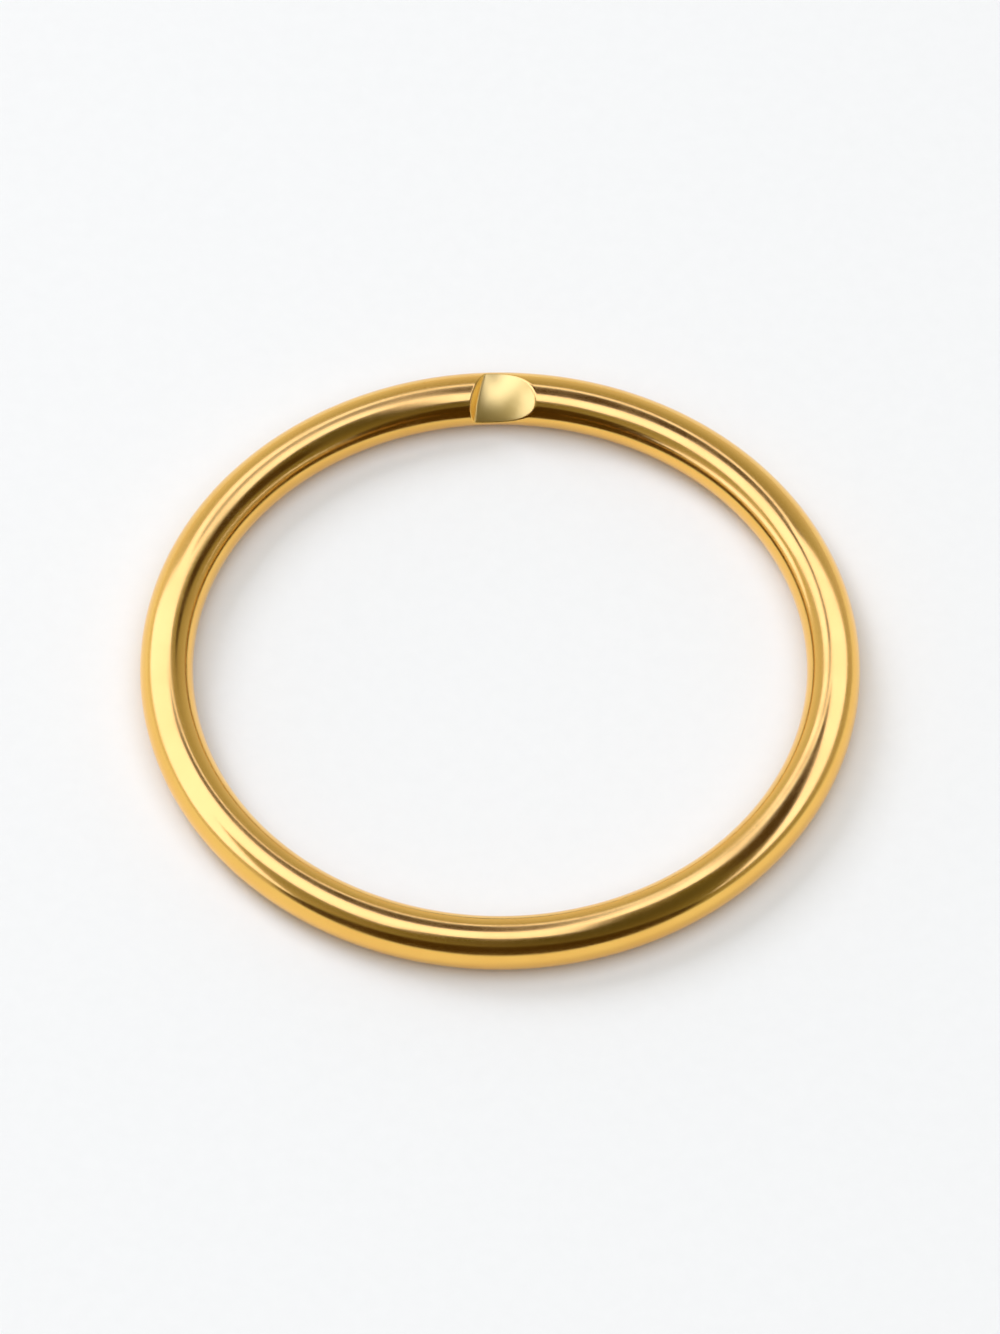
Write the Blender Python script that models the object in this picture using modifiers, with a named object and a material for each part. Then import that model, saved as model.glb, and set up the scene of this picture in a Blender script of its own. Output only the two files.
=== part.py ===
"""A stackable ring: a band of round gold wire with one bright cut, lying on its side.

Units are metres and +Z is up. The origin is under the middle of the finger hole, on the surface
that the band lies on. The bright cut is at the band's +Y side and looks up over the hole, to -Y.
"""

import math

import bmesh
import bpy
from mathutils import Matrix, Vector

# The band: the hole decides the finger size, and the wire is the same thickness all round.
FINGER_HOLE_DIAMETER = 0.0173
WIRE_DIAMETER = 0.0015

# The bright cut: one stroke of a polished tool along the wire, deep at a steep shoulder on the
# -X side and running out to a round nose on the +X side.
CUT_DEPTH = 0.00038
RUN_OUT_LENGTH = 0.0012
SHOULDER_LENGTH = 0.00056
DEEPEST_TO_MIDDLE = 0.00024
FLOOR_CROWN_RADIUS = 0.0024
FLOOR_TILT = math.radians(56)
SHOULDER_LEAN = math.radians(25)
SHOULDER_SKEW = math.radians(11)
CUTTER_OVERHANG = 0.0004

# Facets: the steps round the wire are even but not a multiple of 4, so that the band has a flat
# facet along its underside to lie on and another along its top.
STEPS_ROUND_BAND = 144
STEPS_ROUND_WIRE = 22
STEPS_ROUND_CUTTER = 96
STEPS_ACROSS_CUTTER = 8

# Worked out from the sizes above.
WIRE_RADIUS = WIRE_DIAMETER / 2
BAND_RADIUS = FINGER_HOLE_DIAMETER / 2 + WIRE_RADIUS
WIRE_HEIGHT = WIRE_RADIUS * math.cos(math.pi / STEPS_ROUND_WIRE)


def clear_scene():
    for thing in list(bpy.data.objects):
        bpy.data.objects.remove(thing, do_unlink=True)


def new_collection(name):
    collection = bpy.data.collections.new(name)
    bpy.context.scene.collection.children.link(collection)
    return collection


def polished_gold():
    """Deep yellow gold over brass, buffed to a mirror."""
    material = bpy.data.materials.new("polished_gold")
    material.use_nodes = True
    shader = material.node_tree.nodes["Principled BSDF"]
    shader.inputs["Base Color"].default_value = (1.0, 0.58, 0.14, 1.0)
    shader.inputs["Metallic"].default_value = 1.0
    shader.inputs["Roughness"].default_value = 0.08
    return material


def make_band(collection):
    """The wire, bent round and closed without a visible joint."""
    bpy.ops.mesh.primitive_torus_add(
        major_radius=BAND_RADIUS,
        minor_radius=WIRE_RADIUS,
        major_segments=STEPS_ROUND_BAND,
        minor_segments=STEPS_ROUND_WIRE,
        location=(0, 0, WIRE_HEIGHT),
    )
    band = bpy.context.object
    band.name = "band"
    band.data.name = "band"
    band.data.shade_smooth()
    for holder in list(band.users_collection):
        holder.objects.unlink(band)
    collection.objects.link(band)
    return band


def cut_axes():
    """The directions along the wire, across it, and out of the cut's floor."""
    along = Vector((1, 0, 0))
    out = Vector((0, -math.cos(FLOOR_TILT), math.sin(FLOOR_TILT)))
    return along, out.cross(along), out


def waisted_drum(waist_radius):
    """An object turned about its own Z: a drum narrowest in the middle, so its floor is crowned."""
    half_width = WIRE_RADIUS + CUTTER_OVERHANG
    heights = [
        half_width * (1 - 2 * step / STEPS_ACROSS_CUTTER)
        for step in range(STEPS_ACROSS_CUTTER + 1)
    ]
    side = [
        (waist_radius + FLOOR_CROWN_RADIUS - math.sqrt(FLOOR_CROWN_RADIUS**2 - height**2), height)
        for height in heights
    ]
    profile = bmesh.new()
    outline = [(0, heights[0]), *side, (0, heights[-1])]
    corners = [profile.verts.new((radius, 0, height)) for radius, height in outline]
    for start, end in zip(corners, corners[1:]):
        profile.edges.new((start, end))
    mesh = bpy.data.meshes.new("cutter_profile")
    profile.to_mesh(mesh)
    profile.free()
    drum = bpy.data.objects.new("cutter_profile", mesh)
    turn = drum.modifiers.new("turn", "SCREW")
    turn.steps = STEPS_ROUND_CUTTER
    turn.render_steps = STEPS_ROUND_CUTTER
    turn.use_merge_vertices = True
    turn.merge_threshold = 1e-7
    return drum


def make_cutter(collection):
    """The drum laid across the wire, with its -X part sliced off to leave the steep shoulder."""
    along, across, out = cut_axes()
    wire_centre = Vector((-DEEPEST_TO_MIDDLE, BAND_RADIUS, WIRE_HEIGHT))
    deepest = wire_centre + out * (WIRE_RADIUS - CUT_DEPTH)
    waist_radius = (RUN_OUT_LENGTH**2 + CUT_DEPTH**2) / (2 * CUT_DEPTH)

    drum = waisted_drum(waist_radius)
    collection.objects.link(drum)
    graph = bpy.context.evaluated_depsgraph_get()
    mesh = bpy.data.meshes.new_from_object(drum.evaluated_get(graph))
    bpy.data.objects.remove(drum)

    placing = Matrix((out, along, across)).transposed().to_4x4()
    placing.translation = deepest + out * waist_radius
    shape = bmesh.new()
    shape.from_mesh(mesh)
    shape.transform(placing)
    shoulder_top = deepest + out * CUT_DEPTH - along * SHOULDER_LENGTH
    level = along * math.cos(SHOULDER_SKEW) - across * math.sin(SHOULDER_SKEW)
    shoulder_face = level * math.cos(SHOULDER_LEAN) + out * math.sin(SHOULDER_LEAN)
    sliced = bmesh.ops.bisect_plane(
        shape,
        geom=shape.verts[:] + shape.edges[:] + shape.faces[:],
        dist=1e-8,
        plane_co=shoulder_top,
        plane_no=shoulder_face,
        clear_inner=True,
    )
    rim = [part for part in sliced["geom_cut"] if isinstance(part, bmesh.types.BMEdge)]
    bmesh.ops.edgenet_fill(shape, edges=rim)
    bmesh.ops.recalc_face_normals(shape, faces=shape.faces[:])
    shape.to_mesh(mesh)
    shape.free()

    cutter = bpy.data.objects.new("bright_cut_tool", mesh)
    cutter.hide_render = True
    cutter.display_type = "WIRE"
    collection.objects.link(cutter)
    return cutter


clear_scene()
band = make_band(new_collection("stackable_ring"))
band.data.materials.append(polished_gold())
bright_cut = band.modifiers.new("bright_cut", "BOOLEAN")
bright_cut.object = make_cutter(new_collection("cutters"))
bright_cut.operation = "DIFFERENCE"
bright_cut.solver = "EXACT"
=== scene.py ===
import math

import bpy
from mathutils import Euler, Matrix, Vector


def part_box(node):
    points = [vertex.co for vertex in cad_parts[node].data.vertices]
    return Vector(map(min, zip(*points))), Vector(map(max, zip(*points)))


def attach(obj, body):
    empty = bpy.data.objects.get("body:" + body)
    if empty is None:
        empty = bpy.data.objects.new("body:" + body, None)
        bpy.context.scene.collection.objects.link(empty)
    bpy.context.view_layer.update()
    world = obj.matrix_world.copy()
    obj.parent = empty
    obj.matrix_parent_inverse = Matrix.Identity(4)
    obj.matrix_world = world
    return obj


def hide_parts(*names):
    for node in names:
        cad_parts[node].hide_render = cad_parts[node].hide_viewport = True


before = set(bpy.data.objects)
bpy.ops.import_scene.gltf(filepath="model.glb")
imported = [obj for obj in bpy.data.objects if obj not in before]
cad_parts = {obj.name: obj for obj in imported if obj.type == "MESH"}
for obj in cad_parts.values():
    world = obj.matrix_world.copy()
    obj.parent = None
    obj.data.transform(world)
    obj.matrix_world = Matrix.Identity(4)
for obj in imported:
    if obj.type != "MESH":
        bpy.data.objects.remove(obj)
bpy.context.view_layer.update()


# The band. It is one length of round brass wire with a thick skin of gold, bent round a steel
# mandrel, soldered, and filed and buffed until the joint is gone. One stroke of a polished tool
# has then taken the bright cut out of its far side, deep at a shoulder and running out to a nose.
FINGER_HOLE_DIAMETER = 0.0173
CUT_DEPTH = 0.00038
RUN_OUT_LENGTH = 0.0012
SHOULDER_LENGTH = 0.00056
DEEPEST_TO_MIDDLE = 0.00024
FLOOR_CROWN_RADIUS = 0.0024
FLOOR_TILT = math.radians(56)
SHOULDER_LEAN = math.radians(25)
SHOULDER_SKEW = math.radians(11)
SHOULDER_FOOT_ROUNDING = 0.00012
RIM_ROUNDING = 0.00004
HAND_UNEVENNESS = 0.000003
HAND_UNEVENNESS_LENGTH = 0.0035
STATIONS_ROUND_BAND = 640
POINTS_ROUND_WIRE = 112
CROWDING_AT_CUT = 0.9

lowest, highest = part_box("band")
OUTSIDE_RADIUS = (highest.x - lowest.x) / 2
WIRE_RADIUS = (OUTSIDE_RADIUS - FINGER_HOLE_DIAMETER / 2) / 2
BAND_RADIUS = OUTSIDE_RADIUS - WIRE_RADIUS
WIRE_HEIGHT = (lowest.z + highest.z) / 2

# The gold is buffed bright. It gives the eye clear bands of light, drawn out a little along the
# wire by the buffing lines, and faint smudges where it has been handled. The cut goes through it,
# and its floor is the paler brass inside, with the satin shine that the tool left.
DEEP_YELLOW_GOLD = "#FACB6A"
REDDER_GOLD = "#F6BE5E"
BUFFED_ROUGHNESS = 0.16
SMUDGED_ROUGHNESS = 0.22
PALE_BRASS = "#FFDC7A"
CUT_ROUGHNESS = 0.34
SMUDGE_WIDTH = 0.0015
SMUDGES_BEGIN = 0.4
SMUDGES_FULL = 0.7
BUFFING_LINE_SPACING = 0.00004  # the real lines are about 0.005 mm apart: wider here, to show
BUFFING_LINE_LENGTH = 0.004
BUFFING_LINE_DEPTH = 0.0000004


def linear_colour(hex_colour):
    """An sRGB hex value as the linear colour that Blender's sockets take."""
    channels = [int(hex_colour[start:start + 2], 16) / 255 for start in (1, 3, 5)]
    return [
        channel / 12.92 if channel <= 0.04045 else ((channel + 0.055) / 1.055) ** 2.4
        for channel in channels
    ] + [1.0]


def add_node(tree, kind, sockets=None, **settings):
    """Adds a node with its settings. A socket takes a value, another socket, or a node's output."""
    made = tree.nodes.new(kind)
    for name, value in settings.items():
        setattr(made, name, value)
    for socket, value in (sockets or {}).items():
        if isinstance(value, bpy.types.Node):
            value = next(output for output in value.outputs if output.enabled)
        if isinstance(value, bpy.types.NodeSocket):
            tree.links.new(value, made.inputs[socket])
        else:
            made.inputs[socket].default_value = value
    return made


def polished_gold():
    material = bpy.data.materials.new("polished gold over brass")
    material.use_nodes = True
    tree = material.node_tree
    shader = tree.nodes["Principled BSDF"]
    place = add_node(tree, "ShaderNodeTexCoord").outputs["Object"]

    # The noise for the buffing lines is fine across the wire and slow along it: it reads the
    # distance from the middle of the hole and the height finely, and the way round slowly.
    level = add_node(tree, "ShaderNodeVectorMath", {0: place, 1: (1, 1, 0)}, operation="MULTIPLY")
    from_middle = add_node(tree, "ShaderNodeVectorMath", {0: level}, operation="LENGTH")
    way_round = add_node(tree, "ShaderNodeVectorMath", {0: level}, operation="NORMALIZE")
    way = add_node(tree, "ShaderNodeSeparateXYZ", {0: way_round}).outputs
    height = add_node(tree, "ShaderNodeSeparateXYZ", {0: place}).outputs["Z"]
    section = add_node(tree, "ShaderNodeCombineXYZ", {0: from_middle, 1: height, 2: way["X"]})
    fine = 1 / BUFFING_LINE_SPACING
    slow = BAND_RADIUS / BUFFING_LINE_LENGTH
    drawn_out = add_node(
        tree, "ShaderNodeVectorMath", {0: section, 1: (fine, fine, slow)}, operation="MULTIPLY"
    )
    fourth = add_node(tree, "ShaderNodeMath", {0: way["Y"], 1: slow}, operation="MULTIPLY")
    lines = add_node(
        tree,
        "ShaderNodeTexNoise",
        noise_dimensions="4D",
        sockets={"Vector": drawn_out, "W": fourth, "Scale": 1.0, "Detail": 2.0},
    )
    bump = add_node(
        tree, "ShaderNodeBump", {"Height": lines, "Strength": 1.0, "Distance": BUFFING_LINE_DEPTH}
    )

    smudges = add_node(
        tree, "ShaderNodeTexNoise", {"Vector": place, "Scale": 1 / SMUDGE_WIDTH, "Detail": 4.0}
    )
    softness = add_node(
        tree,
        "ShaderNodeMapRange",
        {
            "Value": smudges,
            "From Min": SMUDGES_BEGIN,
            "From Max": SMUDGES_FULL,
            "To Min": BUFFED_ROUGHNESS,
            "To Max": SMUDGED_ROUGHNESS,
        },
    )
    in_cut = add_node(tree, "ShaderNodeAttribute", attribute_name="bright_cut").outputs["Fac"]
    roughness = add_node(
        tree, "ShaderNodeMix", {0: in_cut, 2: softness.outputs["Result"], 3: CUT_ROUGHNESS}
    )
    colour = add_node(
        tree,
        "ShaderNodeMix",
        data_type="RGBA",
        sockets={0: smudges, 6: linear_colour(DEEP_YELLOW_GOLD), 7: linear_colour(REDDER_GOLD)},
    )
    skin_or_core = add_node(
        tree,
        "ShaderNodeMix",
        data_type="RGBA",
        sockets={0: in_cut, 6: colour.outputs[2], 7: linear_colour(PALE_BRASS)},
    )
    shader.inputs["Metallic"].default_value = 1.0
    tree.links.new(skin_or_core.outputs[2], shader.inputs["Base Color"])
    tree.links.new(roughness.outputs["Result"], shader.inputs["Roughness"])
    tree.links.new(bump.outputs["Normal"], shader.inputs["Normal"])
    return material


def closed_wire_tree(inputs):
    """A round wire carried round a circle, with its stations crowded towards the bright cut."""
    tree = bpy.data.node_groups.new("closed round wire with a bright cut", "GeometryNodeTree")
    kinds = {
        float: "NodeSocketFloat",
        int: "NodeSocketInt",
        Vector: "NodeSocketVector",
        bpy.types.Material: "NodeSocketMaterial",
    }
    for name, value in inputs.items():
        tree.interface.new_socket(name, in_out="INPUT", socket_type=kinds[type(value)])
    tree.interface.new_socket("Band", in_out="OUTPUT", socket_type="NodeSocketGeometry")
    given = add_node(tree, "NodeGroupInput").outputs

    # The path is a circle. A sine of each station's turn from the cut draws it towards the cut.
    circle = add_node(tree, "GeometryNodeCurvePrimitiveCircle", {"Resolution": given["Stations"]})
    part_way = add_node(tree, "GeometryNodeSplineParameter").outputs["Factor"]
    turn = add_node(tree, "ShaderNodeMath", {0: part_way, 1: math.tau}, operation="MULTIPLY")
    sway = add_node(tree, "ShaderNodeMath", {0: turn}, operation="SINE")
    pull = add_node(tree, "ShaderNodeMath", {0: sway, 1: given["Crowding"]}, operation="MULTIPLY")
    drawn = add_node(tree, "ShaderNodeMath", {0: turn, 1: pull}, operation="SUBTRACT")
    side = add_node(tree, "ShaderNodeMath", {0: drawn}, operation="SINE")
    ahead = add_node(tree, "ShaderNodeMath", {0: drawn}, operation="COSINE")
    direction = add_node(tree, "ShaderNodeCombineXYZ", {0: side, 1: ahead})
    station = add_node(
        tree,
        "ShaderNodeVectorMath",
        {0: direction, "Scale": given["Band radius"]},
        operation="SCALE",
    )
    lifted = add_node(
        tree, "ShaderNodeVectorMath", {0: station, 1: given["Band middle"]}, operation="ADD"
    )
    path = add_node(tree, "GeometryNodeSetPosition", {"Geometry": circle, "Position": lifted})
    section = add_node(
        tree,
        "GeometryNodeCurvePrimitiveCircle",
        {"Resolution": given["Points round wire"], "Radius": given["Wire radius"]},
    )
    wire = add_node(
        tree, "GeometryNodeCurveToMesh", {"Curve": path, "Profile Curve": section}
    )

    # Bending and filing by hand leave the wire about a thousandth of a millimetre out of true.
    place = add_node(tree, "GeometryNodeInputPosition").outputs[0]
    wander = add_node(
        tree,
        "ShaderNodeTexNoise",
        {"Vector": place, "Scale": given["Unevenness pitch"], "Detail": 1.0},
    )
    centred = add_node(tree, "ShaderNodeMath", {0: wander, 1: 0.5}, operation="SUBTRACT")
    amount = add_node(
        tree, "ShaderNodeMath", {0: centred, 1: given["Unevenness"]}, operation="MULTIPLY"
    )
    normal = add_node(tree, "GeometryNodeInputNormal")
    push = add_node(tree, "ShaderNodeVectorMath", {0: normal, "Scale": amount}, operation="SCALE")
    uneven = add_node(tree, "GeometryNodeSetPosition", {"Geometry": wire, "Offset": push})

    # The cut lowers each point to its floor or to its shoulder, whichever is higher there.
    from_cut = add_node(
        tree, "ShaderNodeVectorMath", {0: place, 1: given["Cut middle"]}, operation="SUBTRACT"
    )
    along, across, out = (
        add_node(
            tree, "ShaderNodeVectorMath", {0: from_cut, 1: given[name]}, operation="DOT_PRODUCT"
        )
        for name in ("Along wire", "Across wire", "Out of floor")
    )
    run = add_node(
        tree, "ShaderNodeMath", {0: along, 1: given["Run-out length"]}, operation="DIVIDE"
    )
    run_squared = add_node(tree, "ShaderNodeMath", {0: run, 1: run}, operation="MULTIPLY")
    short_of_rim = add_node(tree, "ShaderNodeMath", {0: run_squared, 1: 1.0}, operation="SUBTRACT")
    trough = add_node(
        tree,
        "ShaderNodeMath",
        {0: short_of_rim, 1: given["Cut depth"], 2: given["Wire radius"]},
        operation="MULTIPLY_ADD",
    )
    across_squared = add_node(tree, "ShaderNodeMath", {0: across, 1: across}, operation="MULTIPLY")
    fall = add_node(
        tree, "ShaderNodeMath", {0: across_squared, 1: given["Crown diameter"]}, operation="DIVIDE"
    )
    floor = add_node(tree, "ShaderNodeMath", {0: trough, 1: fall}, operation="SUBTRACT")
    from_shoulder = add_node(
        tree, "ShaderNodeVectorMath", {0: place, 1: given["Shoulder top"]}, operation="SUBTRACT"
    )
    past_shoulder, lean = (
        add_node(
            tree,
            "ShaderNodeVectorMath",
            {0: vector, 1: given["Shoulder face"]},
            operation="DOT_PRODUCT",
        )
        for vector in (from_shoulder, given["Out of floor"])
    )
    rise = add_node(tree, "ShaderNodeMath", {0: past_shoulder, 1: lean}, operation="DIVIDE")
    shoulder = add_node(tree, "ShaderNodeMath", {0: out, 1: rise}, operation="SUBTRACT")
    hollow = add_node(
        tree,
        "ShaderNodeMath",
        {0: floor, 1: shoulder, 2: given["Foot rounding"]},
        operation="SMOOTH_MAX",
    )
    cut_height = add_node(
        tree,
        "ShaderNodeMath",
        {0: out, 1: hollow, 2: given["Rim rounding"]},
        operation="SMOOTH_MIN",
    )
    drop = add_node(tree, "ShaderNodeMath", {0: cut_height, 1: out}, operation="SUBTRACT")
    sink = add_node(
        tree,
        "ShaderNodeVectorMath",
        {0: given["Out of floor"], "Scale": drop},
        operation="SCALE",
    )
    away = add_node(tree, "ShaderNodeVectorMath", {0: from_cut}, operation="LENGTH")
    near = add_node(
        tree, "FunctionNodeCompare", {0: away, 1: given["Reach of cut"]}, operation="LESS_THAN"
    )

    # The material finds the cut's floor by a mark on every point that the cut has brought down.
    sunk = add_node(tree, "ShaderNodeMath", {0: drop}, operation="ABSOLUTE")
    share = add_node(
        tree,
        "ShaderNodeMath",
        {0: sunk, 1: given["Rim rounding"]},
        operation="DIVIDE",
        use_clamp=True,
    )
    mark = add_node(tree, "ShaderNodeMath", {0: share, 1: near}, operation="MULTIPLY")
    marked = add_node(
        tree,
        "GeometryNodeStoreNamedAttribute",
        {"Geometry": uneven, "Name": "bright_cut", "Value": mark},
        data_type="FLOAT",
        domain="POINT",
    )
    cut = add_node(
        tree, "GeometryNodeSetPosition", {"Geometry": marked, "Selection": near, "Offset": sink}
    )

    smooth = add_node(tree, "GeometryNodeSetShadeSmooth", {"Geometry": cut})
    real = add_node(tree, "GeometryNodeRealizeInstances", {"Geometry": smooth})
    gilded = add_node(
        tree, "GeometryNodeSetMaterial", {"Geometry": real, "Material": given["Metal"]}
    )
    add_node(tree, "NodeGroupOutput", {"Band": gilded})
    return tree


along_wire = Vector((1, 0, 0))
out_of_floor = Vector((0, -math.cos(FLOOR_TILT), math.sin(FLOOR_TILT)))
across_wire = out_of_floor.cross(along_wire)
cut_middle = Vector((-DEEPEST_TO_MIDDLE, BAND_RADIUS, WIRE_HEIGHT))
level_of_shoulder = along_wire * math.cos(SHOULDER_SKEW) - across_wire * math.sin(SHOULDER_SKEW)
band_inputs = {
    "Band middle": Vector((0, 0, WIRE_HEIGHT)),
    "Band radius": BAND_RADIUS,
    "Wire radius": WIRE_RADIUS,
    "Stations": STATIONS_ROUND_BAND,
    "Points round wire": POINTS_ROUND_WIRE,
    "Crowding": CROWDING_AT_CUT,
    "Unevenness": HAND_UNEVENNESS,
    "Unevenness pitch": 1 / HAND_UNEVENNESS_LENGTH,
    "Cut middle": cut_middle,
    "Along wire": along_wire,
    "Across wire": across_wire,
    "Out of floor": out_of_floor,
    "Cut depth": CUT_DEPTH,
    "Run-out length": RUN_OUT_LENGTH,
    "Crown diameter": 2 * FLOOR_CROWN_RADIUS,
    "Shoulder top": cut_middle + out_of_floor * WIRE_RADIUS - along_wire * SHOULDER_LENGTH,
    "Shoulder face": level_of_shoulder * math.cos(SHOULDER_LEAN)
    + out_of_floor * math.sin(SHOULDER_LEAN),
    "Foot rounding": SHOULDER_FOOT_ROUNDING,
    "Rim rounding": RIM_ROUNDING,
    "Reach of cut": 2 * RUN_OUT_LENGTH,
    "Metal": polished_gold(),
}

former = bpy.data.objects.new("band_former", bpy.data.meshes.new("band_former"))
bpy.context.scene.collection.objects.link(former)
bending = former.modifiers.new("bending", "NODES")
bending.node_group = closed_wire_tree(band_inputs)
for item in bending.node_group.interface.items_tree:
    if item.in_out == "INPUT":
        bending[item.identifier] = band_inputs[item.name]
formed = former.evaluated_get(bpy.context.evaluated_depsgraph_get())
band = bpy.data.objects.new("gold_band", bpy.data.meshes.new_from_object(formed))
bpy.data.objects.remove(former)
bpy.context.scene.collection.objects.link(band)
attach(band, "root")
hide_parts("band")


# The table. It is a sheet of matt white cartridge paper, wide enough to fill every view. Its fibres
# leave a faint grain that is only just seen this close.
PAPER_WHITE = "#F5F5F4"
PAPER_GRAIN_WHITE = "#F1F1F0"
PAPER_WIDTH = 1.2
PAPER_GRAIN = 0.0005
PAPER_GRAIN_DEPTH = 0.000003

paper_material = bpy.data.materials.new("matt white paper")
paper_material.use_nodes = True
paper_tree = paper_material.node_tree
paper_shader = paper_tree.nodes["Principled BSDF"]
paper_place = add_node(paper_tree, "ShaderNodeTexCoord").outputs["Object"]
fibres = add_node(
    paper_tree,
    "ShaderNodeTexNoise",
    {"Vector": paper_place, "Scale": 1 / PAPER_GRAIN, "Detail": 6.0, "Roughness": 0.6},
)
whites = add_node(
    paper_tree,
    "ShaderNodeMix",
    data_type="RGBA",
    sockets={0: fibres, 6: linear_colour(PAPER_WHITE), 7: linear_colour(PAPER_GRAIN_WHITE)},
)
relief = add_node(
    paper_tree, "ShaderNodeBump", {"Height": fibres, "Strength": 1.0, "Distance": PAPER_GRAIN_DEPTH}
)
paper_tree.links.new(whites.outputs[2], paper_shader.inputs["Base Color"])
paper_tree.links.new(relief.outputs["Normal"], paper_shader.inputs["Normal"])
paper_shader.inputs["Roughness"].default_value = 1.0
paper_shader.inputs["Specular IOR Level"].default_value = 0.0

half = PAPER_WIDTH / 2
paper_mesh = bpy.data.meshes.new("table_paper")
paper_height = WIRE_HEIGHT - WIRE_RADIUS
corners = [(x * half, y * half, paper_height) for x, y in ((-1, -1), (1, -1), (1, 1), (-1, 1))]
paper_mesh.from_pydata(corners, [], [range(4)])
paper_mesh.materials.append(paper_material)
paper = bpy.data.objects.new("table_paper", paper_mesh)
bpy.context.scene.collection.objects.link(paper)


# The studio. It is a pale room, brightest behind the band, and dimmer and warmer overhead. A soft
# box behind on the left lays a short soft shadow to the right and in front, and a large one
# overhead fills it. Square lit panels and round dark cards close to the band give the gold its
# pale and dark bands. Neither the camera nor the paper sees them.
ROOM_LIGHT = 0.6
ROOM_LIGHT_SLOPE = Vector((-0.15, 0.2, -0.45))
DIM_ROOM = "#FFF5A0"
BRIGHT_ROOM = "#FFFFFF"
# Each soft box's name, middle in metres from the band's middle, width and brightness.
SOFT_BOXES = (
    ("soft_box_key", Vector((-0.27, 0.24, 0.34)), 0.25, 5.4),
    ("soft_box_fill", Vector((0.05, -0.15, 0.55)), 0.7, 1.85),
)
SOFT_BOX_WHITE = "#F1F4FF"
PANEL_WHITE = "#BEC5FF"
PANEL_BRIGHTNESS = 2.0
DARK_CARD = "#46340C"
# Each one's name, middle from the band's middle and width and height in millimetres, and its turns
# in degrees about X, Y and Z from lying level.
WHITE_PANELS = (
    ("panel_overhead", (-25, 20, 60), (80, 80), (0, 0, 45)),
    ("panel_in_front", (-5, -10, 45), (30, 25), (25, 0, 0)),
    ("panel_left", (-25, 0, 7), (25, 30), (0, 0, -30)),
    ("panel_right", (22, 0, 8), (22, 25), (0, -15, 25)),
)
DARK_CARDS = (
    ("dark_card_overhead", (-5, 20, 55), (20, 45), (0, 0, 5)),
    ("dark_card_right", (22, 7, 25), (20, 40), (0, 0, 30)),
    ("dark_card_in_front", (-10, -55, 15), (160, 35), (75, 0, 0)),
    ("dark_card_in_hole", (0, 0, 0), (11, 15), (-5, 0, 0)),
)

MILLIMETRE = 0.001
band_middle = Vector((0, 0, WIRE_HEIGHT))

room = bpy.data.worlds.new("pale room")
room.use_nodes = True
air = room.node_tree
way_out = add_node(air, "ShaderNodeTexCoord").outputs["Generated"]
slope = add_node(
    air, "ShaderNodeVectorMath", {0: way_out, 1: ROOM_LIGHT_SLOPE}, operation="DOT_PRODUCT"
)
light = add_node(air, "ShaderNodeMath", {0: slope, 1: ROOM_LIGHT}, operation="ADD")
how_bright = add_node(air, "ShaderNodeMapRange", {"Value": light, "From Max": ROOM_LIGHT})
tint = add_node(
    air,
    "ShaderNodeMix",
    data_type="RGBA",
    sockets={
        0: how_bright.outputs["Result"],
        6: linear_colour(DIM_ROOM),
        7: linear_colour(BRIGHT_ROOM),
    },
)
air.links.new(tint.outputs[2], air.nodes["Background"].inputs["Color"])
air.links.new(light.outputs[0], air.nodes["Background"].inputs["Strength"])
bpy.context.scene.world = room

for name, place, width, brightness in SOFT_BOXES:
    lamp = bpy.data.lights.new(name, "AREA")
    lamp.size = width
    lamp.energy = brightness * math.pi * width**2
    lamp.color = linear_colour(SOFT_BOX_WHITE)[:3]
    soft_box = bpy.data.objects.new(name, lamp)
    soft_box.location = band_middle + place
    soft_box.rotation_euler = place.to_track_quat("Z", "Y").to_euler()
    soft_box.visible_camera = False
    soft_box.visible_glossy = False
    bpy.context.scene.collection.objects.link(soft_box)

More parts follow.
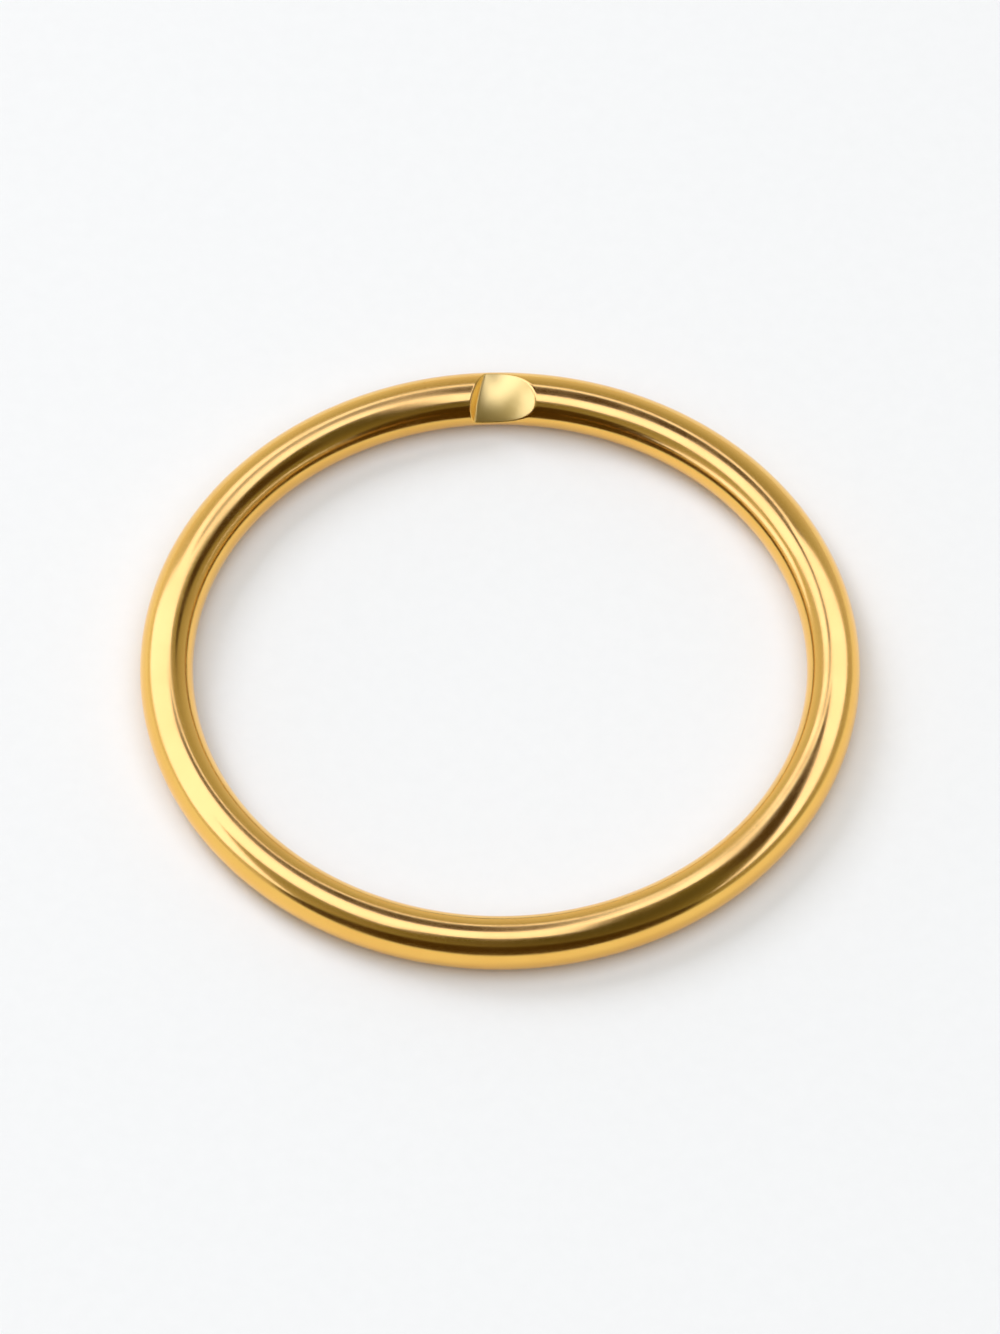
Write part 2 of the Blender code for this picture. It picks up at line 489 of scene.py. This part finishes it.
SQUARE = [(-1, -1), (1, -1), (1, 1), (-1, 1)]
ROUND = [(math.cos(math.radians(turn)), math.sin(math.radians(turn))) for turn in range(0, 360, 10)]
for cards, outline, material_name, colour, brightness in (
    (WHITE_PANELS, SQUARE, "lit white panel", PANEL_WHITE, PANEL_BRIGHTNESS),
    (DARK_CARDS, ROUND, "matt dark card", DARK_CARD, 0.0),
):
    card_material = bpy.data.materials.new(material_name)
    card_material.use_nodes = True
    card_shader = card_material.node_tree.nodes["Principled BSDF"]
    card_shader.inputs["Base Color"].default_value = linear_colour(colour)
    card_shader.inputs["Roughness"].default_value = 1.0
    card_shader.inputs["Specular IOR Level"].default_value = 0.0
    card_shader.inputs["Emission Color"].default_value = linear_colour(colour)
    card_shader.inputs["Emission Strength"].default_value = brightness
    for name, middle, (width, height), turns in cards:
        turned = Euler([math.radians(turn) for turn in turns]).to_matrix()
        corners = [turned @ Vector((x * width / 2, y * height / 2, 0)) for x, y in outline]
        rim = [band_middle + (Vector(middle) + corner) * MILLIMETRE for corner in corners]
        mesh = bpy.data.meshes.new(name)
        mesh.from_pydata(rim, [], [range(len(rim))])
        mesh.materials.append(card_material)
        card = bpy.data.objects.new(name, mesh)
        card.visible_camera = False
        card.visible_diffuse = False
        card.visible_shadow = False
        bpy.context.scene.collection.objects.link(card)


# The camera. It looks at the band from the photograph's angle with a long lens, so that the near
# and far sides measure alike. The band is in the middle and takes up most of the frame's width.
VIEW_ELEVATION = math.radians(54.7)
CAMERA_DISTANCE = 0.4
RING_SHARE_OF_WIDTH = 0.72

to_camera = Vector((0, -math.cos(VIEW_ELEVATION), math.sin(VIEW_ELEVATION)))
lens = bpy.data.cameras.new("camera")
lens.sensor_fit = "HORIZONTAL"
lens.lens = lens.sensor_width * CAMERA_DISTANCE * RING_SHARE_OF_WIDTH / (2 * OUTSIDE_RADIUS)
lens.clip_start = 0.01
camera = bpy.data.objects.new("camera", lens)
camera.location = band_middle + to_camera * CAMERA_DISTANCE
camera.rotation_euler = (math.pi / 2 - VIEW_ELEVATION, 0, 0)
bpy.context.scene.collection.objects.link(camera)
bpy.context.scene.camera = camera
bpy.context.scene.view_settings.view_transform = "Standard"
